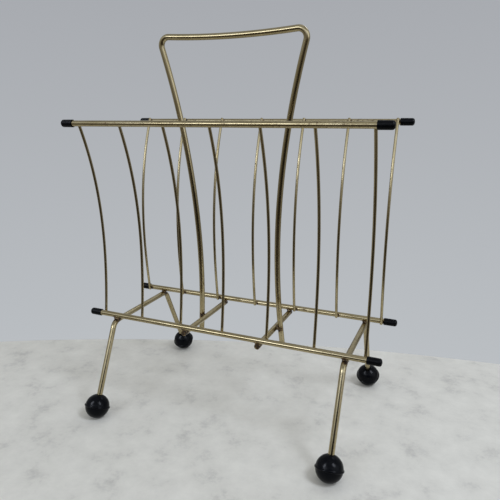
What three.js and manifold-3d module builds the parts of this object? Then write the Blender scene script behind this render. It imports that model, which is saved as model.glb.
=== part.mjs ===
// Magazine rack of welded wire: two bowed panels that form a V, a carrying handle between them, and two bent
// leg frames that stand on ball feet. Millimetres, +Z up, +X along the rails, -Y is the front. The origin is
// on the floor, in the middle of the footprint.
import * as THREE from 'three';
import { mergeVertices } from 'three/addons/utils/BufferGeometryUtils.js';
import Module from 'manifold-3d';

const wasm = await Module();
wasm.setup();

// ---- Driving dimensions ------------------------------------------------------------------------------

const ROD_R = 3;                 // rails, cross rods, leg frames and handle
const WIRE_R = 1.5;              // uprights of the panels
const GAP = 0.3;                 // clearance where two pieces would touch

const RAIL_HALF = 164.6;          // half length of a rail, inside its caps
const TOP_RAIL_Y = 69.1;         // distance from the middle plane
const TOP_RAIL_Z = { front: 316.7, back: 317.3 };
const BOTTOM_RAIL = new THREE.Vector2(49.6, 104.4);   // distance from the middle plane, height

const UPRIGHT_COUNT = 7;         // in each panel
const UPRIGHT_PITCH = 50;
const LEAN_TOP = radians(22.8);  // the bowed wires lean outwards at the top rail
const LEAN_BOTTOM = radians(-7.8);    // and inwards, going up, at the bottom rail
const TOP_NUB = { front: 2.2, back: 3.9 };      // wire beyond the top rail's centre
const BOTTOM_NUB = 2;            // wire beyond the bottom rail's centre

const CAP_R = 3.85;              // end caps
const CAP_LENGTH = 14.2;
const CAP_CROWN = 1.8;           // plastic beyond the rail end
const CAP_ROUND = 2.4;           // radius of the cap's rounded end

const LEG_X = 131.7;             // leg frames, from the middle
const LEG_CORNER_Y = 53.6;       // where the legs would meet the cross piece without a bend
const LEG_BEND_R = 11;
const BALL_R = 13;
const BALL_Y = 93.7;             // ball centres, from the middle plane
const BALL_FLAT = 0.35;          // depth of the flat that a ball stands on
const BALL_SOCKET = 4;           // from a ball's centre to the end of its leg
const RIDGE_HEIGHT = 0.8;        // parting ridge round the ball, square to the leg
const RIDGE_WIDTH = 1.8;

const CROSS_ROD_X = 42.5;        // cross rods that carry the handle
const CROSS_ROD_HALF = 52;

const HANDLE_LEAN = radians(3.5);     // the handle leans to the front
const HANDLE_Y = 1.5;            // where its plane crosses the cross rods
const ARM_END = -21;             // heights along the handle, from the cross rods' centres
const ARM_WAIST = 70.5;
const BAR_HEIGHT = 300;          // middle of the grip bar
const ARM_BOW_R = 828;           // both arms curve in towards the waist
const BAR_SAG_R = 940;           // the grip bar sags a little in the middle
const HANDLE_CORNER_R = 8;

const ROD_SIDES = 12;
const WIRE_SIDES = 8;
const BEND_STEPS = 5;
const TURNED_SIDES = 18;

const brass = new THREE.MeshStandardMaterial({ color: 0x9c8f62, roughness: 0.32, metalness: 1 });
const blackPlastic = new THREE.MeshStandardMaterial({ color: 0x101012, roughness: 0.38, metalness: 0 });

const rack = new THREE.Group();

// ---- Helpers -----------------------------------------------------------------------------------------

function radians(degrees) {
  return degrees * Math.PI / 180;
}

function addMesh(name, geometry, material) {
  const mesh = new THREE.Mesh(geometry, material.clone());
  mesh.name = name;
  rack.add(mesh);
  return mesh;
}

// A straight run, and an arc the short way round, in the plane of a flat rod.
function straight(from, to) {
  return new THREE.LineCurve(from, to);
}

function arc(centre, from, to) {
  const start = from.clone().sub(centre);
  const end = to.clone().sub(centre);
  const radius = start.length();
  const clockwise = start.cross(end) < 0;
  return new THREE.EllipseCurve(centre.x, centre.y, radius, radius, start.angle(), end.angle(), clockwise);
}

// The round bend of a rod that runs from a to b and on to c.
function bend(a, b, c, radius) {
  const back = a.clone().sub(b).normalize();
  const on = c.clone().sub(b).normalize();
  const half = Math.acos(back.dot(on)) / 2;
  const start = b.clone().addScaledVector(back, radius / Math.tan(half));
  const end = b.clone().addScaledVector(on, radius / Math.tan(half));
  const centre = b.clone().addScaledVector(back.clone().add(on).normalize(), radius / Math.sin(half));
  return { start, end, curve: arc(centre, start, end) };
}

// Centre line of a flat rod, from curves joined end to end. Each curve brings its own number of rings, so a
// straight run costs one step and a bend stays round.
class RodPath extends THREE.Curve {
  constructor(runs) {
    super();
    this.rings = [];
    for (const [curve, steps] of runs) {
      const first = this.rings.length ? 1 : 0;
      for (let i = first; i <= steps; i++) {
        this.rings.push([curve.getPointAt(i / steps), curve.getTangentAt(i / steps)]);
      }
    }
    this.steps = this.rings.length - 1;
  }

  getPointAt(u, target = new THREE.Vector3()) {
    const [point] = this.rings[Math.round(u * this.steps)];
    return target.set(point.x, point.y, 0);
  }

  getTangentAt(u, target = new THREE.Vector3()) {
    const [, tangent] = this.rings[Math.round(u * this.steps)];
    return target.set(tangent.x, tangent.y, 0);
  }
}

function bentRod(runs, radius, sides) {
  const section = new THREE.Shape().absarc(0, 0, radius, 0, 2 * Math.PI);
  const outline = new THREE.Shape(section.getSpacedPoints(sides).slice(0, sides));
  const path = new RodPath(runs);
  return new THREE.ExtrudeGeometry(outline, { extrudePath: path, steps: path.steps, bevelEnabled: false });
}

// Straight rod along X with deburred ends.
function straightRod(halfLength) {
  const burr = 0.5;
  const profile = [
    new THREE.Vector2(0, -halfLength),
    new THREE.Vector2(ROD_R - burr, -halfLength),
    new THREE.Vector2(ROD_R, -halfLength + burr),
    new THREE.Vector2(ROD_R, halfLength - burr),
    new THREE.Vector2(ROD_R - burr, halfLength),
    new THREE.Vector2(0, halfLength),
  ];
  return new THREE.LatheGeometry(profile, ROD_SIDES).rotateZ(-Math.PI / 2);
}

function toManifold(geometry) {
  const bare = geometry.clone();
  bare.deleteAttribute('normal');
  bare.deleteAttribute('uv');
  const merged = mergeVertices(bare);
  const mesh = new wasm.Mesh({
    numProp: 3,
    vertProperties: new Float32Array(merged.attributes.position.array),
    triVerts: new Uint32Array(merged.index.array),
  });
  return new wasm.Manifold(mesh);
}

function toGeometry(solid) {
  const { vertProperties, triVerts } = solid.getMesh();
  const geometry = new THREE.BufferGeometry();
  geometry.setAttribute('position', new THREE.BufferAttribute(vertProperties, 3));
  geometry.setIndex(new THREE.BufferAttribute(triVerts, 1));
  geometry.computeVertexNormals();
  return geometry;
}

// ---- Panels: rails, caps and uprights ----------------------------------------------------------------

// Cap over a rail end that points along +X: a cup with a rounded end, its mouth at the origin.
function capGeometry() {
  const bore = ROD_R + GAP;
  const depth = CAP_LENGTH - CAP_CROWN + GAP;
  const crown = new THREE.Path();
  crown.absarc(CAP_R - CAP_ROUND, CAP_LENGTH - CAP_ROUND, CAP_ROUND, 0, Math.PI / 2);
  const profile = [
    new THREE.Vector2(0, depth),
    new THREE.Vector2(bore, depth),
    new THREE.Vector2(bore, 0),
    new THREE.Vector2(CAP_R, 0),
    ...crown.getSpacedPoints(3),
    new THREE.Vector2(0, CAP_LENGTH),
  ];
  return new THREE.LatheGeometry(profile, TURNED_SIDES).rotateZ(-Math.PI / 2);
}

// One wire, drawn as distance from the middle plane and height: a cubic between the two rails, which it
// passes on the inner side, with a short straight nub past each rail.
function uprightGeometry(panelName) {
  const seat = ROD_R + WIRE_R + GAP;
  const bottom = new THREE.Vector2(BOTTOM_RAIL.x - seat / Math.cos(LEAN_BOTTOM), BOTTOM_RAIL.y);
  const top = new THREE.Vector2(TOP_RAIL_Y - seat / Math.cos(LEAN_TOP), TOP_RAIL_Z[panelName]);
  const third = (top.y - bottom.y) / 3;
  const bottomPull = new THREE.Vector2(third * Math.tan(LEAN_BOTTOM), third).add(bottom);
  const topPull = new THREE.Vector2(third * Math.tan(LEAN_TOP), third).negate().add(top);
  const bow = new THREE.CubicBezierCurve(bottom, bottomPull, topPull, top);
  const bottomEnd = bottom.clone().addScaledVector(bow.getTangent(0), -BOTTOM_NUB);
  const topEnd = top.clone().addScaledVector(bow.getTangent(1), TOP_NUB[panelName]);
  return bentRod([[straight(bottomEnd, bottom), 1], [bow, 12], [straight(top, topEnd), 1]], WIRE_R, WIRE_SIDES);
}

function addPanel(panelName, side) {
  const topRail = new THREE.Vector2(TOP_RAIL_Y, TOP_RAIL_Z[panelName]);
  for (const [level, place] of [['top', topRail], ['bottom', BOTTOM_RAIL]]) {
    const rail = addMesh(`${panelName}_${level}_rail`, straightRod(RAIL_HALF), brass);
    rail.position.set(0, side * place.x, place.y);
    for (const [end, direction] of [['left', -1], ['right', 1]]) {
      const cap = addMesh(`${panelName}_${level}_cap_${end}`, capGeometry(), blackPlastic);
      cap.position.set(direction * (RAIL_HALF + CAP_CROWN - CAP_LENGTH), side * place.x, place.y);
      cap.rotation.z = direction > 0 ? 0 : Math.PI;
    }
  }
  for (let i = 0; i < UPRIGHT_COUNT; i++) {
    const wire = addMesh(`${panelName}_upright_${i + 1}`, uprightGeometry(panelName), brass);
    wire.position.x = (i - (UPRIGHT_COUNT - 1) / 2) * UPRIGHT_PITCH;
    wire.rotation.set(Math.PI / 2, side * Math.PI / 2, 0);
  }
}

// ---- Leg frames and ball feet ------------------------------------------------------------------------

const UNDER_RAIL_Z = BOTTOM_RAIL.y - 2 * ROD_R - GAP;    // rods that lie under the bottom rails
const BALL_Z = BALL_R - BALL_FLAT;
const LEG_SPLAY = Math.atan2(BALL_Y - LEG_CORNER_Y, UNDER_RAIL_Z - BALL_Z);

function legFrameGeometry() {
  const corner = new THREE.Vector2(LEG_CORNER_Y, UNDER_RAIL_Z);
  const up = new THREE.Vector2(-Math.sin(LEG_SPLAY), Math.cos(LEG_SPLAY));
  const foot = new THREE.Vector2(BALL_Y, BALL_Z).addScaledVector(up, BALL_SOCKET);
  const mirror = (point) => new THREE.Vector2(-point.x, point.y);
  const right = bend(foot, corner, mirror(corner), LEG_BEND_R);
  const left = bend(corner, mirror(corner), mirror(foot), LEG_BEND_R);
  const runs = [
    [straight(foot, right.start), 1],
    [right.curve, BEND_STEPS],
    [straight(right.end, left.start), 1],
    [left.curve, BEND_STEPS],
    [straight(left.end, mirror(foot)), 1],
  ];
  return bentRod(runs, ROD_R, ROD_SIDES);
}

// Ball with its bore along the leg, a ridge round its waist and a flat where it stands. The leg comes down
// towards +Y.
function ballGeometry() {
  const bore = ROD_R + GAP;
  const mouth = Math.asin(bore / BALL_R);
  const ridge = Math.asin(RIDGE_WIDTH / 2 / BALL_R);
  const surface = (from, to, steps) => new THREE.Path()
    .absarc(0, 0, BALL_R, Math.PI / 2 - from, Math.PI / 2 - to, true)
    .getSpacedPoints(steps);
  const profile = [
    new THREE.Vector2(0, BALL_SOCKET - GAP),
    new THREE.Vector2(bore, BALL_SOCKET - GAP),
    ...surface(mouth, Math.PI / 2 - ridge, 6),
    new THREE.Vector2(BALL_R + RIDGE_HEIGHT, RIDGE_WIDTH / 4),
    new THREE.Vector2(BALL_R + RIDGE_HEIGHT, -RIDGE_WIDTH / 4),
    ...surface(Math.PI / 2 + ridge, Math.PI, 8),
  ];
  profile[profile.length - 1].x = 0;
  const turned = new THREE.LatheGeometry(profile.reverse(), TURNED_SIDES);
  turned.rotateX(Math.PI / 2 + LEG_SPLAY);
  const floor = new THREE.BoxGeometry(2 * BALL_R, 2 * BALL_R, BALL_R).translate(0, 0, -BALL_Z - BALL_R / 2);
  return toGeometry(toManifold(turned).subtract(toManifold(floor)));
}

function addLegFrame(end, direction) {
  const frame = addMesh(`leg_frame_${end}`, legFrameGeometry(), brass);
  frame.position.x = direction * LEG_X;
  frame.rotation.set(Math.PI / 2, Math.PI / 2, 0);
  for (const [where, side] of [['front', -1], ['back', 1]]) {
    const ball = addMesh(`foot_${where}_${end}`, ballGeometry(), blackPlastic);
    ball.position.set(direction * LEG_X, side * BALL_Y, BALL_Z);
    ball.rotation.z = side > 0 ? 0 : Math.PI;
  }
}

// ---- Handle and the cross rods that carry it ---------------------------------------------------------

// Where the circles round a and b cross, on the left of the way from a to b.
function crossing(a, radiusA, b, radiusB) {
  const way = b.clone().sub(a);
  const distance = way.length();
  const along = (distance ** 2 + radiusA ** 2 - radiusB ** 2) / (2 * distance);
  const aside = Math.sqrt(radiusA ** 2 - along ** 2);
  way.normalize();
  return a.clone().addScaledVector(way, along).add(new THREE.Vector2(-way.y, way.x).multiplyScalar(aside));
}

// Handle in its own plane, x across and y up from the cross rods' centres.
function handleGeometry() {
  const r = HANDLE_CORNER_R;
  const armAtRod = CROSS_ROD_X + 2 * ROD_R + GAP;
  const waist = armAtRod - ARM_BOW_R + Math.sqrt(ARM_BOW_R ** 2 - ARM_WAIST ** 2);
  const armCentre = new THREE.Vector2(waist + ARM_BOW_R, ARM_WAIST);
  const barCentre = new THREE.Vector2(0, BAR_HEIGHT + BAR_SAG_R);
  const cornerCentre = crossing(armCentre, ARM_BOW_R + r, barCentre, BAR_SAG_R + r);
  const armTop = cornerCentre.clone().lerp(armCentre, r / (ARM_BOW_R + r));
  const barEnd = cornerCentre.clone().lerp(barCentre, r / (BAR_SAG_R + r));
  const drop = ARM_WAIST - ARM_END;
  const armEnd = new THREE.Vector2(armCentre.x - Math.sqrt(ARM_BOW_R ** 2 - drop ** 2), ARM_END);
  const mirror = (point) => new THREE.Vector2(-point.x, point.y);
  const runs = [
    [arc(armCentre, armEnd, armTop), 12],
    [arc(cornerCentre, armTop, barEnd), BEND_STEPS],
    [arc(barCentre, barEnd, mirror(barEnd)), 6],
    [arc(mirror(cornerCentre), mirror(barEnd), mirror(armTop)), BEND_STEPS],
    [arc(mirror(armCentre), mirror(armTop), mirror(armEnd)), 12],
  ];
  return bentRod(runs, ROD_R, ROD_SIDES);
}

function addHandle() {
  const handle = addMesh('handle', handleGeometry(), brass);
  handle.position.set(0, HANDLE_Y, UNDER_RAIL_Z);
  handle.rotation.x = Math.PI / 2 + HANDLE_LEAN;
  for (const [end, direction] of [['left', -1], ['right', 1]]) {
    const rod = addMesh(`cross_rod_${end}`, straightRod(CROSS_ROD_HALF), brass);
    rod.position.set(direction * CROSS_ROD_X, 0, UNDER_RAIL_Z);
    rod.rotation.z = Math.PI / 2;
  }
}

// ---- Assembly ----------------------------------------------------------------------------------------

addPanel('front', -1);
addPanel('back', 1);
addLegFrame('left', -1);
addLegFrame('right', 1);
addHandle();

export default rack;
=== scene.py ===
import math
from collections import namedtuple

import bpy
import numpy as np
from mathutils import Matrix, Vector


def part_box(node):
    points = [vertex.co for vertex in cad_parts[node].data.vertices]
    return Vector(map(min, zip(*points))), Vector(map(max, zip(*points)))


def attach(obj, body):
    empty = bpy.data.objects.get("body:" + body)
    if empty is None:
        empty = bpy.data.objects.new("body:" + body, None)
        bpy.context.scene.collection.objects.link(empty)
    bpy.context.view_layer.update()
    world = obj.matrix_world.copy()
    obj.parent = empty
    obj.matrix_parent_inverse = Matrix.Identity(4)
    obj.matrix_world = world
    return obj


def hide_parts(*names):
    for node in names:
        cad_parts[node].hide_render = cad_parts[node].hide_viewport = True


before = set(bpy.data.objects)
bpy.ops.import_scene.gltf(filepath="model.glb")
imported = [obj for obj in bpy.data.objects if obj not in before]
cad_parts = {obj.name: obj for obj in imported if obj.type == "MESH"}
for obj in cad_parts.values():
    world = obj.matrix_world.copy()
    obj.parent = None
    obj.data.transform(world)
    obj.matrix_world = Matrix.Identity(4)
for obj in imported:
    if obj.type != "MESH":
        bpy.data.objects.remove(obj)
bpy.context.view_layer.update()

MM = 0.001
X, Y, Z = np.eye(3)
SIDES = {"front": -1, "back": 1}     # of the middle plane, along Y
ENDS = {"left": -1, "right": 1}      # of the rack, along X


# ---- Sizes -------------------------------------------------------------------------------------------

def middle(node):
    low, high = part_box(node)
    return np.array((low + high) / 2)


def size(node):
    low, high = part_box(node)
    return np.array(high - low)


ROD_R = size("front_top_rail")[2] / 2
WIRE_R = size("front_upright_1")[0] / 2
GAP = 0.3 * MM                   # between pieces that touch
ROD_BURR = 0.5 * MM              # rounding of a cut end
WIRE_BURR = 0.25 * MM

BOTTOM_RAIL = middle("back_bottom_rail")[1:]         # distance from the middle plane, height
TOP_RAIL = {panel: np.abs(middle(f"{panel}_top_rail"))[1:] for panel in SIDES}    # the same, per panel
UPRIGHTS = range(1, 8)           # numbers of the wires in each panel, from the left
LEAN_TOP = math.radians(22.8)    # of the bowed wires, outwards at the top rail
LEAN_BOTTOM = math.radians(-7.8)
TOP_NUB = {"front": 2.2 * MM, "back": 3.9 * MM}      # wire beyond the height of the rail's centre
BOTTOM_NUB = 2 * MM

CAP_R = size("front_top_cap_left")[2] / 2
CAP_LENGTH = size("front_top_cap_left")[0]
CAP_CROWN = 1.8 * MM             # plastic beyond the rail end
CAP_ROUND = 2.4 * MM             # radius of the rounded end
CAP_LIP = 0.3 * MM               # rounding of the mouth's edges
CAP_DRAFT = 0.06 * MM            # how much slimmer the wall is at its far end
CAP_DOME = 0.25 * MM             # rise of the end face
CAP_SIDES = 48

CROSS_ROD = middle("cross_rod_right")
CROSS_HALF = size("cross_rod_right")[1] / 2
UNDER_RAIL_Z = CROSS_ROD[2]      # rods that lie under the bottom rails

BALL_R = 13 * MM
BALL_FLAT = 0.35 * MM            # depth of the flat that a ball stands on
BALL_Y = 93.7 * MM
BALL_Z = BALL_R - BALL_FLAT
BALL_SOCKET = 4 * MM             # from a ball's centre to the end of its leg
BALL_LIP = 0.6 * MM              # rounding of the bore's edge
BALL_SLOPE = 0.25                # where that rounding ends: about the ball's slope there, in radians
BALL_SIDES = 72
RIDGE_HEIGHT = 0.8 * MM          # parting ridge round the ball, square to the leg
RIDGE_WIDTH = 1.8 * MM
RIDGE_TURN = 1.4                 # from its crest to its foot, in radians

LEG_X = middle("leg_frame_right")[0]
LEG_CORNER_Y = 53.6 * MM         # where a leg would meet the cross piece without a bend
LEG_BEND_R = 11 * MM
LEG_SPLAY = math.atan2(BALL_Y - LEG_CORNER_Y, UNDER_RAIL_Z - BALL_Z)

HANDLE_LEAN = math.radians(3.5)  # to the front
HANDLE_UP = np.array([0, -math.sin(HANDLE_LEAN), math.cos(HANDLE_LEAN)])
HANDLE_Y = 1.5 * MM              # where its plane crosses the cross rods
ARM_END = -21 * MM               # heights along the handle, from the cross rods
ARM_WAIST = 70.5 * MM
BAR_HEIGHT = 300 * MM
ARM_BOW_R = 828 * MM
BAR_SAG_R = 940 * MM
HANDLE_CORNER_R = 8 * MM

FINE = 0.2 * MM                  # spacing of the points on a centre line
BOW_POINTS = 1200                # on the line of a bowed wire
RING_STEP = 1.4 * MM             # spacing of the rings round it
BURR_STEPS = 5
ROD_SIDES = 28
WIRE_SIDES = 18


# ---- Centre lines, drawn in a plane ------------------------------------------------------------------

def vec(x, y):
    return np.array([x, y], float)


def unit(v):
    return v / np.linalg.norm(v)


def straight(a, b):
    steps = max(2, round(np.linalg.norm(b - a) / FINE))
    return a + np.linspace(0, 1, steps + 1)[:, None] * (b - a)


def arc(centre, a, b):
    """Points from a to b round centre, the short way."""
    from_a, from_b = a - centre, b - centre
    turn = math.atan2(from_a[0] * from_b[1] - from_a[1] * from_b[0], from_a @ from_b)
    radius = np.linalg.norm(from_a)
    angles = math.atan2(from_a[1], from_a[0]) + np.linspace(0, turn, max(8, round(abs(turn) * radius / FINE)))
    return centre + radius * np.column_stack([np.cos(angles), np.sin(angles)])


def bend(a, b, c, radius):
    """Rounds the corner b of a rod that runs from a to b and on to c."""
    back, on = unit(a - b), unit(c - b)
    half = math.acos(back @ on) / 2
    start, end = b + back * radius / math.tan(half), b + on * radius / math.tan(half)
    return arc(b + unit(back + on) * radius / math.sin(half), start, end)


def cubic(p0, p1, p2, p3):
    t = np.linspace(0, 1, BOW_POINTS)[:, None]
    return (1 - t) ** 3 * p0 + 3 * (1 - t) ** 2 * t * p1 + 3 * (1 - t) * t ** 2 * p2 + t ** 3 * p3


def join(*runs):
    """One line through all runs, without the doubled points where they meet."""
    points = np.concatenate(runs)
    moved = np.linalg.norm(np.diff(points, axis=0), axis=1) > FINE / 100
    return points[np.concatenate([[True], moved])]


def crossing(a, radius_a, b, radius_b):
    """Where the circles round a and b cross, on the left of the way from a to b."""
    distance = np.linalg.norm(b - a)
    along = (distance ** 2 + radius_a ** 2 - radius_b ** 2) / (2 * distance)
    aside = math.sqrt(radius_a ** 2 - along ** 2)
    way = unit(b - a)
    return a + way * along + vec(-way[1], way[0]) * aside


def place(points, origin, across, up):
    return origin + points[:, :1] * across + points[:, 1:] * up


# ---- Mesh work ---------------------------------------------------------------------------------------

def make_object(name, vertices, faces, flat=()):
    mesh = bpy.data.meshes.new(name)
    mesh.from_pydata([tuple(v) for v in vertices], [], [tuple(f) for f in faces])
    mesh.polygons.foreach_set("use_smooth", [True] * len(mesh.polygons))
    for face in flat:
        mesh.polygons[face].use_smooth = False
    mesh.update()
    piece = bpy.data.objects.new(name, mesh)
    bpy.context.scene.collection.objects.link(piece)
    return piece


def add_attribute(piece, name, kind, values):
    attribute = piece.data.attributes.new(name, kind, "POINT")
    field = "vector" if kind == "FLOAT_VECTOR" else "value"
    attribute.data.foreach_set(field, np.asarray(values, np.float32).ravel())


def tube_faces(rings, sides):
    """Quads between rings, and a fan over each end round one more vertex."""
    faces = []
    for i in range(rings - 1):
        for j in range(sides):
            k = (j + 1) % sides
            faces.append((i * sides + j, i * sides + k, (i + 1) * sides + k, (i + 1) * sides + j))
    start, end, last = rings * sides, rings * sides + 1, (rings - 1) * sides
    for j in range(sides):
        k = (j + 1) % sides
        faces.append((k, j, start))
        faces.append((last + j, last + k, end))
    return faces


def finish_piece(piece, node, material):
    piece.data.materials.append(material)
    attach(piece, "root")
    if node:
        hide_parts(node)
    return piece


# ---- Welds: where they are, how they look, how they stain --------------------------------------------

# The first rod (a) is always a thick one, and the normal points from it to the second rod (b). Where b's end
# is near, its axis points there and the bead reaches no farther than room along it. The stain is strongest at
# hottest and fades over reach.
Weld = namedtuple("Weld", "group point axis_a axis_b radius_b normal room hottest reach burn")
WELDS = []

WIRE_JOINT_DARKENING = {                    # drift to the right of the dark spot at each joint, its reach and strength, at each level
    "top": (0, 2 * MM, 0.6),
    "bottom": (1.5 * MM, 0.8 * MM, 1.3),
}
ROD_DRIFT = 1.5 * MM             # of the stain, into the second rod
ROD_REACH = 2.4 * MM
ROD_BURN = 1.3
ARM_BURN = 1.2

BEAD_SIDES = 28
BEAD_LEVELS = 7                  # rings from one rod to the other
BEAD_WAVES = range(1, 6)         # in its ragged outline
BEAD_RAGGED = 0.05               # height of each wave, of the outline's radius
BEAD_WAIST = 0.1                 # how much slimmer it is halfway
BEAD_GRIP_A = 0.78               # how far its feet reach round the rods, of their radius
BEAD_GRIP_B = 0.93
BEAD_GROW = 1.12, 0.55 * MM      # half its length: a share of the second rod's radius, and so much more
BEAD_GROW_THICK = 0.8, 1.2 * MM  # the same on a thick rod, where it comes out shorter
BEAD_SUNK = 0.25 * MM            # how deep its hidden ends lie in the rods
BEAD_TUCK = 0.9                  # size of its hidden ends, of its feet
BEAD_STAIN = 0.9


def weld_mesh(weld, random):
    """A bead between two crossing rods: a waisted collar whose one foot lies on each rod."""
    radius_b = weld.radius_b
    along_a = unit(weld.axis_a - (weld.axis_a @ weld.normal) * weld.normal)
    across_a = np.cross(weld.normal, along_a)
    phi = np.linspace(0, 2 * math.pi, BEAD_SIDES, endpoint=False)
    ragged = 1 + sum(
        random.uniform(-BEAD_RAGGED, BEAD_RAGGED) * np.cos(k * phi + random.uniform(0, 6)) for k in BEAD_WAVES
    )
    half_length = min(share * radius_b + more for share, more in (BEAD_GROW, BEAD_GROW_THICK))
    foot_a = np.column_stack([
        np.cos(phi) * half_length * ragged,
        np.sin(phi) * BEAD_GRIP_A * ROD_R * ragged,
    ])
    to_end = np.sign(across_a @ weld.axis_b)
    foot_b = np.column_stack([
        np.cos(phi) * BEAD_GRIP_B * radius_b,
        to_end * np.minimum(to_end * np.sin(phi) * ROD_R * ragged, weld.room),
    ])
    high_a = -GAP / 2 - ROD_R + np.sqrt(ROD_R ** 2 - foot_a[:, 1] ** 2)
    high_b = GAP / 2 + radius_b - np.sqrt(radius_b ** 2 - foot_b[:, 0] ** 2)
    rings = [np.column_stack([foot_a * BEAD_TUCK, high_a - BEAD_SUNK])]
    for t in np.linspace(0, 1, BEAD_LEVELS):
        waist = 1 - BEAD_WAIST * math.sin(math.pi * t)
        outline = ((1 - t) * foot_a + t * foot_b) * waist
        rings.append(np.column_stack([outline, (1 - t) * high_a + t * high_b]))
    rings.append(np.column_stack([foot_b * BEAD_TUCK, high_b + BEAD_SUNK]))
    poles = [[0, 0, high_a.mean() - BEAD_SUNK], [0, 0, high_b.mean() + BEAD_SUNK]]
    local = np.concatenate([*rings, poles])
    points = weld.point + local[:, :1] * along_a + local[:, 1:2] * across_a + local[:, 2:] * weld.normal
    return points, tube_faces(BEAD_LEVELS + 2, BEAD_SIDES)


def add_weld_group(name, group, seed):
    random = np.random.default_rng(seed)
    vertices, faces = [], []
    for weld in [w for w in WELDS if w.group == group]:
        points, bead_faces = weld_mesh(weld, random)
        faces += [tuple(i + len(vertices) for i in face) for face in bead_faces]
        vertices += list(points)
    piece = make_object(name, vertices, faces)
    add_attribute(piece, "rod_space", "FLOAT_VECTOR", vertices)
    add_attribute(piece, "stain", "FLOAT", np.full(len(vertices), BEAD_STAIN))
    add_attribute(piece, "wear", "FLOAT", np.ones(len(vertices)))
    finish_piece(piece, None, brass)


def stain_at(points):
    """How strongly the welds' heat has stained the plating at these points. Over 1 is as good as burnt."""
    stain = np.zeros(len(points))
    for weld in WELDS:
        away = np.linalg.norm(points - weld.hottest, axis=1)
        spread = np.maximum(away - weld.radius_b, 0) / weld.reach
        stain = np.maximum(stain, weld.burn * np.exp(-spread ** 2))
    return stain


def note_wire_welds(panel, side):
    """Each wire crosses both rails on their inner side and ends a little past them."""
    seat = ROD_R + WIRE_R + GAP
    for level, rail, lean, to_end, nub in (
        ("top", TOP_RAIL[panel], LEAN_TOP, 1, TOP_NUB[panel]),
        ("bottom", BOTTOM_RAIL, LEAN_BOTTOM, -1, BOTTOM_NUB),
    ):
        drift, reach, burn = WIRE_JOINT_DARKENING[level]
        normal = np.array([0, -side * math.cos(lean), math.sin(lean)])
        wire = to_end * np.array([0, side * math.sin(lean), math.cos(lean)])
        room = nub - to_end * seat * math.tan(lean) - WIRE_BURR
        for i in UPRIGHTS:
            x = middle(f"{panel}_upright_{i}")[0]
            point = np.array([x, side * rail[0], rail[1]]) + (ROD_R + GAP / 2) * normal
            WELDS.append(Weld(panel, point, X, wire, WIRE_R, normal, room, point + drift * X, reach, burn))


def note_rod_weld(group, point, axis_a, axis_b, normal, room, burn):
    hottest = point + ROD_DRIFT * normal
    WELDS.append(Weld(group, point, axis_a, axis_b, ROD_R, normal, room, hottest, ROD_REACH, burn))


def note_welds():
    cross_room = CROSS_HALF - BOTTOM_RAIL[0] - ROD_BURR
    for panel, side in SIDES.items():
        note_wire_welds(panel, side)
        for end in ENDS.values():
            under_rail = np.array([0, side * BOTTOM_RAIL[0], BOTTOM_RAIL[1] - ROD_R - GAP / 2])
            on_leg = under_rail + end * LEG_X * X
            note_rod_weld("legs", on_leg, X, Y, -Z, math.inf, ROD_BURN)
            on_cross_rod = under_rail + end * CROSS_ROD[0] * X
            note_rod_weld("handle", on_cross_rod, X, side * Y, -Z, cross_room, ROD_BURN)
    for end in ENDS.values():
        beside = np.array([end * (CROSS_ROD[0] + ROD_R + GAP / 2), HANDLE_Y, UNDER_RAIL_Z])
        note_rod_weld("handle", beside, Y, HANDLE_UP, end * X, math.inf, ARM_BURN)


# ---- Rods --------------------------------------------------------------------------------------------

def add_rod(name, node, line, plane_normal, radius, sides, burr, seed, wear):
    """Sweeps a round bar along a centre line that lies in a plane. Its ends are cut square and deburred. The
    seed gives its plating a pattern of its own, and wear, 0 to 1, is how pitted and dull it has become."""
    lengths = np.concatenate([[0], np.cumsum(np.linalg.norm(np.diff(line, axis=0), axis=1))])
    total = lengths[-1]
    turn = np.linspace(0, math.pi / 2, BURR_STEPS)
    ease = burr * (1 - np.cos(turn))
    body = np.linspace(burr, total - burr, max(2, round((total - 2 * burr) / RING_STEP)))
    stations = np.concatenate([ease[:-1], body, total - ease[-2::-1]])
    radii = np.concatenate([
        radius - burr + burr * np.sin(turn[:-1]),
        np.full(len(body), radius),
        radius - burr + burr * np.sin(turn[-2::-1]),
    ])
    centres = np.column_stack([np.interp(stations, lengths, line[:, i]) for i in range(3)])
    way = np.gradient(line, lengths, axis=0)
    tangents = np.column_stack([np.interp(stations, lengths, way[:, i]) for i in range(3)])
    tangents /= np.linalg.norm(tangents, axis=1)[:, None]
    side = np.cross(plane_normal, tangents)
    angles = np.linspace(0, 2 * math.pi, sides, endpoint=False)
    vertices, rod_space = [], []
    for centre, radius_here, out, along in zip(centres, radii, side, stations):
        for angle in angles:
            around = math.cos(angle) * out + math.sin(angle) * plane_normal
            vertices.append(centre + radius_here * around)
            rod_space.append((along + seed, radius_here * math.cos(angle), radius_here * math.sin(angle)))
    for centre, along in ((centres[0], 0), (centres[-1], total)):
        vertices.append(centre)
        rod_space.append((along + seed, 0, 0))
    faces = tube_faces(len(stations), sides)
    piece = make_object(name, vertices, faces, flat=range(len(faces) - 2 * sides, len(faces)))
    add_attribute(piece, "rod_space", "FLOAT_VECTOR", rod_space)
    add_attribute(piece, "stain", "FLOAT", stain_at(np.array(vertices)))
    add_attribute(piece, "wear", "FLOAT", np.full(len(vertices), wear))
    finish_piece(piece, node, brass)


def straight_line(node, axis):
    centre, half = middle(node), size(node) * axis / 2
    return straight(centre - half, centre + half)


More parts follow.
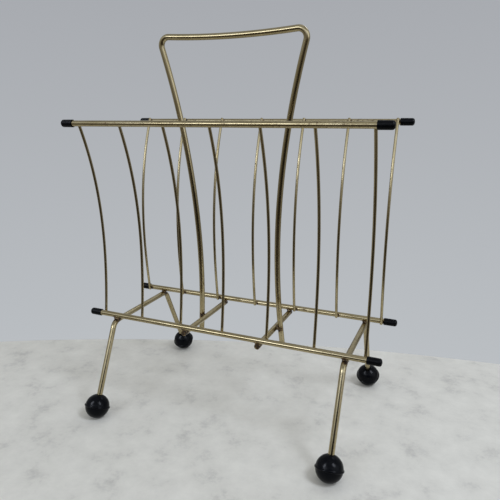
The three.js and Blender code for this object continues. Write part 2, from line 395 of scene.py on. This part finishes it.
def upright_line(panel):
    """Distance from the middle plane and height: a bow between the rails, with a straight nub past each."""
    seat = ROD_R + WIRE_R + GAP
    bottom = vec(BOTTOM_RAIL[0] - seat / math.cos(LEAN_BOTTOM), BOTTOM_RAIL[1])
    top = vec(TOP_RAIL[panel][0] - seat / math.cos(LEAN_TOP), TOP_RAIL[panel][1])
    third = (top[1] - bottom[1]) / 3
    up_bottom, up_top = vec(math.tan(LEAN_BOTTOM), 1), vec(math.tan(LEAN_TOP), 1)
    bow = cubic(bottom, bottom + third * up_bottom, top - third * up_top, top)
    bottom_end, top_end = bottom - BOTTOM_NUB * unit(up_bottom), top + TOP_NUB[panel] * unit(up_top)
    return join(straight(bottom_end, bottom), bow, straight(top, top_end))


def mirror(point):
    return vec(-point[0], point[1])


def leg_frame_line():
    corner = vec(LEG_CORNER_Y, UNDER_RAIL_Z)
    foot = vec(BALL_Y, BALL_Z) + BALL_SOCKET * vec(-math.sin(LEG_SPLAY), math.cos(LEG_SPLAY))
    right = bend(foot, corner, mirror(corner), LEG_BEND_R)
    left = bend(corner, mirror(corner), mirror(foot), LEG_BEND_R)
    return join(
        straight(foot, right[0]),
        right,
        straight(right[-1], left[0]),
        left,
        straight(left[-1], mirror(foot)),
    )


def handle_line():
    """In the handle's own plane: across, and up from the cross rods."""
    r = HANDLE_CORNER_R
    arm_at_rod = CROSS_ROD[0] + 2 * ROD_R + GAP
    waist = arm_at_rod - ARM_BOW_R + math.sqrt(ARM_BOW_R ** 2 - ARM_WAIST ** 2)
    arm_centre = vec(waist + ARM_BOW_R, ARM_WAIST)
    bar_centre = vec(0, BAR_HEIGHT + BAR_SAG_R)
    corner = crossing(arm_centre, ARM_BOW_R + r, bar_centre, BAR_SAG_R + r)
    arm_top = corner + (arm_centre - corner) * r / (ARM_BOW_R + r)
    bar_end = corner + (bar_centre - corner) * r / (BAR_SAG_R + r)
    drop = ARM_WAIST - ARM_END
    arm_end = vec(arm_centre[0] - math.sqrt(ARM_BOW_R ** 2 - drop ** 2), ARM_END)
    return join(
        arc(arm_centre, arm_end, arm_top),
        arc(corner, arm_top, bar_end),
        arc(bar_centre, bar_end, mirror(bar_end)),
        arc(mirror(corner), mirror(bar_end), mirror(arm_top)),
        arc(mirror(arm_centre), mirror(arm_top), mirror(arm_end)),
    )


RAIL_LOOKS = {"top": (90, 1), "bottom": (60, 0.2)}       # seed and wear
LEG_LOOKS = 20, 0.5
CROSS_ROD_LOOKS = 30, 0.5
HANDLE_LOOKS = 40, 0.1
WIRE_WEAR = 0.12


def add_panel_rods(panel, side):
    for level, (seed, wear) in RAIL_LOOKS.items():
        rail = f"{panel}_{level}_rail"
        add_rod(f"{rail}_rod", rail, straight_line(rail, X), Z, ROD_R, ROD_SIDES, ROD_BURR, seed + side, wear)
    for i in UPRIGHTS:
        node = f"{panel}_upright_{i}"
        line = place(upright_line(panel), middle(node)[0] * X, side * Y, Z)
        add_rod(f"{node}_wire", node, line, X, WIRE_R, WIRE_SIDES, WIRE_BURR, i + 10 * side, WIRE_WEAR)


def add_end_rods(end, direction):
    seed, wear = LEG_LOOKS
    node = f"leg_frame_{end}"
    line = place(leg_frame_line(), direction * LEG_X * X, Y, Z)
    add_rod(f"{node}_rod", node, line, X, ROD_R, ROD_SIDES, ROD_BURR, seed + direction, wear)
    seed, wear = CROSS_ROD_LOOKS
    node = f"cross_rod_{end}"
    line = straight_line(node, Y)
    add_rod(f"{node}_bar", node, line, X, ROD_R, ROD_SIDES, ROD_BURR, seed + direction, wear)


def add_handle():
    line = place(handle_line(), np.array([0, HANDLE_Y, UNDER_RAIL_Z]), X, HANDLE_UP)
    add_rod("handle_rod", "handle", line, np.cross(X, HANDLE_UP), ROD_R, ROD_SIDES, ROD_BURR, *HANDLE_LOOKS)


# ---- Turned pieces: caps and balls -------------------------------------------------------------------

def turned(name, profile, origin, axis, out, sides):
    """Turns a closed profile of (radius, distance along axis) that starts and ends on the axis."""
    other = np.cross(axis, out)
    vertices = []
    for radius, along in profile[1:-1]:
        for angle in np.linspace(0, 2 * math.pi, sides, endpoint=False):
            around = math.cos(angle) * out + math.sin(angle) * other
            vertices.append(origin + along * axis + radius * around)
    vertices += [origin + profile[0][1] * axis, origin + profile[-1][1] * axis]
    return make_object(name, vertices, tube_faces(len(profile) - 2, sides))


def round_profile(centre_r, centre_a, radius, start, end, steps):
    """Arc of a turned profile. Its angles run from the radial direction towards the end of the axis."""
    angles = np.linspace(start, end, steps)
    return [(centre_r + radius * math.cos(t), centre_a + radius * math.sin(t)) for t in angles]


def ball_arc(start, end, steps):
    """Arc of the ball's own surface. Its angles run from the mouth of the bore."""
    return [(BALL_R * math.sin(t), BALL_R * math.cos(t)) for t in np.linspace(start, end, steps)]


def cap_profile():
    """A soft cup: bore, rounded lip, a wall with a little draft, domed end. Its mouth is at 0."""
    bore, lip = ROD_R + GAP / 3, CAP_LIP
    bottom = CAP_LENGTH - CAP_CROWN
    shoulder = CAP_LENGTH - CAP_ROUND - CAP_DOME
    end_r = CAP_R - CAP_DRAFT - CAP_ROUND
    profile = [(0, bottom + GAP), (bore - lip, bottom + GAP)]
    profile += [(bore, along) for along in np.linspace(bottom, lip, 8)]
    profile += round_profile(bore + lip, lip, lip, math.pi, 1.5 * math.pi, steps=5)
    profile += round_profile(CAP_R - lip, lip, lip, 1.5 * math.pi, 2 * math.pi, steps=5)
    profile += [(CAP_R - CAP_DRAFT * t, lip + (shoulder - lip) * t) for t in np.linspace(0.1, 0.9, 9)]
    profile += round_profile(end_r, shoulder, CAP_ROUND, 0, math.pi / 2, steps=12)
    profile += [(end_r * (1 - t), CAP_LENGTH - CAP_DOME * (1 - t) ** 2) for t in np.linspace(0.2, 0.8, 4)]
    return profile + [(0, CAP_LENGTH)]


def add_cap(node, direction):
    centre, half_length = middle(node), size(node)[0] / 2
    mouth = centre - direction * half_length * X
    piece = turned(f"{node}_cup", cap_profile(), mouth, direction * X, Z, CAP_SIDES)
    return finish_piece(piece, node, vinyl)


def ball_profile():
    """Bore along the leg with a rounded edge, and a parting ridge round the waist."""
    bore, lip = ROD_R + GAP / 2, BALL_LIP
    mouth = math.asin((bore + lip) / BALL_R)
    edge = BALL_R * math.cos(mouth) - lip
    ridge = math.asin(RIDGE_WIDTH / 2 / BALL_R)
    profile = [(0, BALL_SOCKET - GAP), (bore, BALL_SOCKET - GAP), (bore, edge)]
    profile += round_profile(bore + lip, edge, lip, math.pi, math.pi / 2 + BALL_SLOPE, steps=5)
    profile += ball_arc(mouth, math.pi / 2 - ridge, steps=26)
    profile += [
        (BALL_R + RIDGE_HEIGHT * math.cos(t) ** 0.5, -RIDGE_WIDTH / 2 * math.sin(t))
        for t in np.linspace(-RIDGE_TURN, RIDGE_TURN, 9)
    ]
    profile += ball_arc(math.pi / 2 + ridge, math.pi, steps=30)
    return profile[:-1] + [(0, -BALL_R)]


def add_ball(node, side):
    """A ball turned round its leg's axis, with a flat where it stands."""
    centre = np.array([middle(node)[0], side * BALL_Y, BALL_Z])
    axis = np.array([0, -side * math.sin(LEG_SPLAY), math.cos(LEG_SPLAY)])
    piece = turned(f"{node}_ball", ball_profile(), centre, axis, X, BALL_SIDES)
    for vertex in piece.data.vertices:
        vertex.co.z = max(vertex.co.z, 0)
    return finish_piece(piece, node, moulded)


# ---- Materials ---------------------------------------------------------------------------------------

def new_material(name):
    material = bpy.data.materials.new(name)
    material.use_nodes = True
    nodes = material.node_tree.nodes
    return material, nodes, material.node_tree.links, nodes["Principled BSDF"]


def noise_node(nodes, links, vector, scale, detail=2, rough=0.5):
    node = nodes.new("ShaderNodeTexNoise")
    node.inputs["Scale"].default_value = scale
    node.inputs["Detail"].default_value = detail
    node.inputs["Roughness"].default_value = rough
    links.new(vector, node.inputs["Vector"])
    return node.outputs["Fac"]


def scaled(nodes, links, vector, scale):
    node = nodes.new("ShaderNodeMapping")
    node.inputs["Scale"].default_value = scale
    links.new(vector, node.inputs["Vector"])
    return node.outputs["Vector"]


def ramp(nodes, links, value, *stops):
    """Colour ramp from (position, colour) stops; a single number makes a grey."""
    node = nodes.new("ShaderNodeValToRGB")
    elements = node.color_ramp.elements
    while len(elements) < len(stops):
        elements.new(0.5)
    for element, (position, colour) in zip(elements, stops):
        element.position = position
        element.color = (colour,) * 3 + (1,) if isinstance(colour, (int, float)) else (*colour, 1)
    links.new(value, node.inputs["Fac"])
    return node.outputs["Color"]


def mix_colour(nodes, links, factor, a, b):
    node = nodes.new("ShaderNodeMix")
    node.data_type = "RGBA"
    for socket, value in ((node.inputs["Factor"], factor), (node.inputs["A"], a), (node.inputs["B"], b)):
        if isinstance(value, bpy.types.NodeSocket):
            links.new(value, socket)
        else:
            socket.default_value = value if isinstance(value, float) else (*value, 1)
    return node.outputs["Result"]


def multiplied(nodes, links, a, b):
    node = nodes.new("ShaderNodeMath")
    node.operation = "MULTIPLY"
    node.use_clamp = True
    links.new(a, node.inputs[0])
    links.new(b, node.inputs[1])
    return node.outputs["Value"]


def attribute(nodes, name, output):
    node = nodes.new("ShaderNodeAttribute")
    node.attribute_name = name
    return node.outputs[output]


def bump(nodes, links, height, strength, distance, normal=None):
    node = nodes.new("ShaderNodeBump")
    node.inputs["Strength"].default_value = strength
    node.inputs["Distance"].default_value = distance
    links.new(height, node.inputs["Height"])
    if normal:
        links.new(normal, node.inputs["Normal"])
    return node.outputs["Normal"]


def object_coordinates(nodes):
    return nodes.new("ShaderNodeTexCoord").outputs["Object"]


BRASS_CLOUDED = (0.35, 0.285, 0.15)
BRASS = (0.42, 0.35, 0.20)
BRASS_BRIGHT = (0.47, 0.40, 0.245)
PIT_BROWN = (0.10, 0.065, 0.035)
HEAT_BROWN = (0.16, 0.085, 0.03)
BURNT_BLACK = (0.015, 0.005, 0.001)
DULL_ROUGH = (0.26, 0.26, 0.26)
PITTED_ROUGH = (0.42, 0.42, 0.42)


def brass_material():
    """Thin brass plating on drawn steel wire: pale gold, clouded with age, pitted, burnt at the welds."""
    material, nodes, links, shader = new_material("aged_brass_plate")
    rod = attribute(nodes, "rod_space", "Vector")
    stain = attribute(nodes, "stain", "Fac")
    wear = attribute(nodes, "wear", "Fac")
    cloud = noise_node(nodes, links, scaled(nodes, links, rod, (0.4, 1, 1)), scale=90, detail=4, rough=0.6)
    all_round = scaled(nodes, links, rod, (1, 0.2, 0.2))
    patches = noise_node(nodes, links, all_round, scale=16, detail=3, rough=0.6)
    drawn = noise_node(nodes, links, scaled(nodes, links, rod, (0.04, 1, 1)), scale=1800, detail=2)
    pits = noise_node(nodes, links, scaled(nodes, links, rod, (0.6, 1, 1)), scale=520, detail=3, rough=0.65)
    broken = noise_node(nodes, links, rod, scale=420, detail=3, rough=0.6)

    dull = multiplied(nodes, links, ramp(nodes, links, patches, (0.40, 0.0), (0.60, 1.0)), wear)
    few_pits = ramp(nodes, links, pits, (0.63, 0.0), (0.69, 0.6))
    many_pits = ramp(nodes, links, pits, (0.53, 0.0), (0.62, 0.75))
    pitted = mix_colour(nodes, links, dull, few_pits, many_pits)
    pitted = multiplied(nodes, links, pitted, ramp(nodes, links, wear, (0.0, 0.2), (0.6, 1.0)))
    burnt = multiplied(nodes, links, stain, ramp(nodes, links, broken, (0.38, 0.35), (0.58, 1.0)))

    plate = ramp(nodes, links, cloud, (0.32, BRASS_CLOUDED), (0.5, BRASS), (0.7, BRASS_BRIGHT))
    plate = mix_colour(nodes, links, pitted, plate, PIT_BROWN)
    plate = mix_colour(nodes, links, ramp(nodes, links, burnt, (0.25, 0.0), (0.55, 0.8)), plate, HEAT_BROWN)
    plate = mix_colour(nodes, links, ramp(nodes, links, burnt, (0.5, 0.0), (0.85, 0.95)), plate, BURNT_BLACK)
    links.new(plate, shader.inputs["Base Color"])
    links.new(ramp(nodes, links, burnt, (0.5, 1.0), (0.85, 0.2)), shader.inputs["Metallic"])

    rough = mix_colour(nodes, links, dull, ramp(nodes, links, cloud, (0.3, 0.17), (0.7, 0.12)), DULL_ROUGH)
    rough = mix_colour(nodes, links, burnt, rough, PITTED_ROUGH)
    rough = mix_colour(nodes, links, pitted, rough, PITTED_ROUGH)
    links.new(rough, shader.inputs["Roughness"])
    lines = bump(nodes, links, drawn, strength=0.03, distance=0.02 * MM)
    normal = bump(nodes, links, cloud, strength=0.01, distance=0.2 * MM, normal=lines)
    links.new(normal, shader.inputs["Normal"])
    return material


def vinyl_material():
    """Soft black vinyl: satin, faintly grained, greyed where it has rubbed."""
    material, nodes, links, shader = new_material("black_vinyl")
    place_here = object_coordinates(nodes)
    grain = noise_node(nodes, links, place_here, scale=1800, detail=3, rough=0.6)
    rub = noise_node(nodes, links, place_here, scale=260, detail=4, rough=0.7)
    colour = ramp(nodes, links, rub, (0.35, (0.0006, 0.0008, 0.0012)), (0.62, (0.0012, 0.0014, 0.0019)),
                  (0.8, (0.005, 0.0053, 0.006)))
    links.new(colour, shader.inputs["Base Color"])
    links.new(ramp(nodes, links, rub, (0.3, 0.3), (0.75, 0.45)), shader.inputs["Roughness"])
    shader.inputs["Specular IOR Level"].default_value = 0.08
    links.new(bump(nodes, links, grain, strength=0.2, distance=0.05 * MM), shader.inputs["Normal"])
    return material


def moulded_material():
    """Glossy moulded black plastic with faint flow marks, hairline scuffs and a little dust."""
    material, nodes, links, shader = new_material("black_moulded_plastic")
    place_here = object_coordinates(nodes)
    flow = noise_node(nodes, links, place_here, scale=120, detail=3, rough=0.55)
    level = scaled(nodes, links, place_here, (1, 1, 9))
    scuff = noise_node(nodes, links, level, scale=300, detail=4, rough=0.7)
    dust = noise_node(nodes, links, place_here, scale=1500, detail=3, rough=0.7)
    colour = ramp(nodes, links, scuff, (0.4, (0.0010, 0.0013, 0.0020)), (0.72, (0.0022, 0.0025, 0.0033)))
    dusty = ramp(nodes, links, dust, (0.68, 0.0), (0.76, 0.12))
    links.new(mix_colour(nodes, links, dusty, colour, (0.1, 0.095, 0.085)), shader.inputs["Base Color"])
    links.new(ramp(nodes, links, scuff, (0.35, 0.2), (0.75, 0.3)), shader.inputs["Roughness"])
    shader.inputs["Specular IOR Level"].default_value = 0.08
    links.new(bump(nodes, links, flow, strength=0.15, distance=0.3 * MM), shader.inputs["Normal"])
    return material


def floor_material():
    """Pale satin stone with faint clouds."""
    material, nodes, links, shader = new_material("pale_floor")
    clouds = noise_node(nodes, links, object_coordinates(nodes), scale=24, detail=8, rough=0.7)
    colour = ramp(nodes, links, clouds, (0.32, (0.57, 0.56, 0.52)), (0.45, (0.74, 0.73, 0.67)),
                  (0.65, (0.82, 0.81, 0.745)))
    links.new(colour, shader.inputs["Base Color"])
    shader.inputs["Roughness"].default_value = 0.5
    return material


# ---- Camera, floor and light -------------------------------------------------------------------------

CAMERA_PLACE = (0.2219, -0.4850, 0.3249)
CAMERA_YAW = math.radians(23.29)
CAMERA_PITCH = math.radians(-14.97)
CAMERA_ROLL = math.radians(-0.16)
CAMERA_LENS = 36.47

FLOOR_LEFT, FLOOR_RIGHT, FLOOR_FRONT = -0.62, 0.4, -0.235
FLOOR_BOW_X, FLOOR_BOW_Y, FLOOR_BOW_R = 0.47, -1.576, 1.8          # the circle of its back edge
FLOOR_BOW_POINTS = 33

CARD_AWAY = 0.06                 # behind the camera
CARD_OUTLINE = ((0.28, 0), (0.28, 0.16), (0.05, 0.32))             # right half: aside, height
CARD_BLACK = (0.012, 0.011, 0.01, 1)


def add_camera():
    data = bpy.data.cameras.new("camera")
    data.lens = CAMERA_LENS
    camera = bpy.data.objects.new("camera", data)
    camera.location = CAMERA_PLACE
    turn = Matrix.Rotation(CAMERA_YAW, 3, "Z") @ Matrix.Rotation(math.pi / 2 + CAMERA_PITCH, 3, "X")
    camera.rotation_euler = (turn @ Matrix.Rotation(CAMERA_ROLL, 3, "Z")).to_euler()
    bpy.context.scene.collection.objects.link(camera)
    bpy.context.scene.camera = camera


def add_floor():
    """A pale slab whose gently curved back edge passes just behind the back feet."""
    outline = [(FLOOR_LEFT, FLOOR_FRONT, 0), (FLOOR_RIGHT, FLOOR_FRONT, 0)]
    for x in np.linspace(FLOOR_RIGHT, FLOOR_LEFT, FLOOR_BOW_POINTS):
        outline.append((x, FLOOR_BOW_Y + math.sqrt(FLOOR_BOW_R ** 2 - (x - FLOOR_BOW_X) ** 2), 0))
    floor = make_object("floor", outline, [range(len(outline))])
    floor.data.materials.append(floor_material())
    return floor


def add_flag():
    """A black card on the ground just behind the camera. It shows only in what the rack mirrors."""
    material, _, _, shader = new_material("black_card")
    shader.inputs["Base Color"].default_value = CARD_BLACK
    shader.inputs["Roughness"].default_value = 0.9
    across = np.array([math.cos(CAMERA_YAW), math.sin(CAMERA_YAW), 0])
    foot = np.array([CAMERA_PLACE[0], CAMERA_PLACE[1], 0]) + CARD_AWAY * np.array([across[1], -across[0], 0])
    outline = [*CARD_OUTLINE, *((-aside, height) for aside, height in reversed(CARD_OUTLINE))]
    corners = [foot + aside * across + height * Z for aside, height in outline]
    card = make_object("flag", corners, [range(len(corners))])
    card.data.materials.append(material)
    card.visible_camera = card.visible_diffuse = card.visible_shadow = False


def direction_to(azimuth, elevation):
    """Away from the rack, in degrees. Azimuth 0 is the front, 90 the right."""
    a, e = math.radians(azimuth), math.radians(elevation)
    return Vector((math.sin(a) * math.cos(e), -math.cos(a) * math.cos(e), math.sin(e)))


# What the rods mirror, as stops from straight down (0) over the horizon (0.5) to straight up (1).
ROOM_FRONT = (
    (0.12, (0.14, 0.12, 0.09)),
    (0.2, (0.07, 0.058, 0.045)),
    (0.33, (0.05, 0.042, 0.034)),
    (0.42, (0.1, 0.085, 0.065)),
    (0.5, (0.23, 0.215, 0.19)),
    (0.57, (0.3, 0.3, 0.3)),
    (0.64, (0.7, 0.74, 0.85)),
    (0.70, (1.15, 1.25, 1.45)),
    (0.78, (1.05, 1.13, 1.3)),
    (0.88, (0.35, 0.36, 0.38)),
    (1.0, (0.6, 0.62, 0.65)),
)
ROOM_AROUND = (
    (0.1, (0.42, 0.42, 0.41)),
    (0.4, (0.28, 0.28, 0.28)),
    (0.52, (0.32, 0.33, 0.34)),
    (0.7, (0.52, 0.54, 0.57)),
    (0.82, (0.45, 0.47, 0.5)),
    (0.92, (0.32, 0.33, 0.35)),
    (1.0, (0.6, 0.62, 0.65)),
)
FRONT_CONE = 15, 0, 0.26, 0.57             # azimuth, elevation, cosines where it starts and is full
SIDE_WINDOW_CONE = 80, 21, 0.87, 0.975
SIDE_WINDOW = (1.2, 1.26, 1.4)
FILL = (0.415, 0.415, 0.405)               # what lights the diffuse surfaces
BACKDROP = ((0.27, (0.50, 0.525, 0.55)), (0.6, (0.39, 0.405, 0.433)))


def inside_cone(nodes, links, direction, azimuth, elevation, start, full):
    """How far a direction lies in the cone round an azimuth and elevation, 0 to 1."""
    dot = nodes.new("ShaderNodeVectorMath")
    dot.operation = "DOT_PRODUCT"
    dot.inputs[1].default_value = direction_to(azimuth, elevation)
    links.new(direction, dot.inputs[0])
    step = nodes.new("ShaderNodeMapRange")
    step.interpolation_type = "SMOOTHSTEP"
    step.inputs["From Min"].default_value = start
    step.inputs["From Max"].default_value = full
    links.new(dot.outputs["Value"], step.inputs["Value"])
    return step.outputs["Result"]


def add_world():
    """A plain pale backdrop to the eye. What the rods mirror is a room: pale walls all round, a window at the
    side, and in front a broad band of window light over a dim, brown lower part."""
    world = bpy.data.worlds.new("studio")
    bpy.context.scene.world = world
    world.use_nodes = True
    nodes, links = world.node_tree.nodes, world.node_tree.links
    direction = nodes.new("ShaderNodeTexCoord").outputs["Generated"]
    split = nodes.new("ShaderNodeSeparateXYZ")
    links.new(direction, split.inputs["Vector"])
    height = nodes.new("ShaderNodeMapRange")
    height.inputs["From Min"].default_value = -1
    links.new(split.outputs["Z"], height.inputs["Value"])
    height = height.outputs["Result"]

    around = ramp(nodes, links, height, *ROOM_AROUND)
    front = ramp(nodes, links, height, *ROOM_FRONT)
    room = mix_colour(nodes, links, inside_cone(nodes, links, direction, *FRONT_CONE), around, front)
    side_window = inside_cone(nodes, links, direction, *SIDE_WINDOW_CONE)
    room = mix_colour(nodes, links, side_window, room, SIDE_WINDOW)
    path = nodes.new("ShaderNodeLightPath").outputs
    room = mix_colour(nodes, links, path["Is Diffuse Ray"], room, FILL)
    backdrop = ramp(nodes, links, height, *BACKDROP)
    room = mix_colour(nodes, links, path["Is Camera Ray"], room, backdrop)
    links.new(room, nodes["Background"].inputs["Color"])


Softbox = namedtuple("Softbox", "name azimuth elevation width height watts")
RACK_LIGHTS = (
    Softbox("window_left", -23, 23, 0.7, 0.3, 3),
    Softbox("window_back", 163, 45, 0.7, 0.2, 1.5),
)
FLOOR_LIGHTS = (
    Softbox("window_right", 70, 48, 0.4, 0.5, 9),
)
PLASTIC_LIGHTS = (
    Softbox("sheen_left", -36, 38, 0.3, 0.75, 14),
    Softbox("sheen_right", 72, 44, 0.3, 0.75, 14),
)
LIGHT_TARGET = Vector((0, 0, 0.2))
LIGHT_DISTANCE = 1.6
DAYLIGHT = (0.92, 0.98, 1.12)


def add_softboxes(softboxes, receivers=None):
    """Soft panels that face the rack. With receivers, a collection, they light nothing else."""
    for box in softboxes:
        data = bpy.data.lights.new(box.name, "AREA")
        data.shape = "RECTANGLE"
        data.size, data.size_y = box.width, box.height
        data.energy = box.watts
        data.color = DAYLIGHT
        light = bpy.data.objects.new(box.name, data)
        away = direction_to(box.azimuth, box.elevation)
        light.location = LIGHT_TARGET + away * LIGHT_DISTANCE
        light.rotation_euler = (-away).to_track_quat("-Z", "Y").to_euler()
        light.light_linking.receiver_collection = receivers
        bpy.context.scene.collection.objects.link(light)


def collection_of(name, pieces):
    collection = bpy.data.collections.new(name)
    for piece in pieces:
        collection.objects.link(piece)
    return collection


# ---- Assembly ----------------------------------------------------------------------------------------

brass = brass_material()
vinyl = vinyl_material()
moulded = moulded_material()

add_camera()
floor = add_floor()
add_flag()
add_world()

note_welds()
for panel, side in SIDES.items():
    add_panel_rods(panel, side)
for end, direction in ENDS.items():
    add_end_rods(end, direction)
add_handle()
add_weld_group("front_panel_welds", "front", 0)
add_weld_group("back_panel_welds", "back", 1)
add_weld_group("leg_welds", "legs", 2)
add_weld_group("handle_welds", "handle", 3)

plastic_pieces = []
for panel in SIDES:
    for level in ("top", "bottom"):
        for end, direction in ENDS.items():
            plastic_pieces.append(add_cap(f"{panel}_{level}_cap_{end}", direction))
for end in ENDS:
    for panel, side in SIDES.items():
        plastic_pieces.append(add_ball(f"foot_{panel}_{end}", side))

add_softboxes(RACK_LIGHTS)
add_softboxes(FLOOR_LIGHTS, collection_of("floor_only", [floor]))
add_softboxes(PLASTIC_LIGHTS, collection_of("plastic", plastic_pieces))
bpy.context.scene.view_settings.view_transform = "Standard"
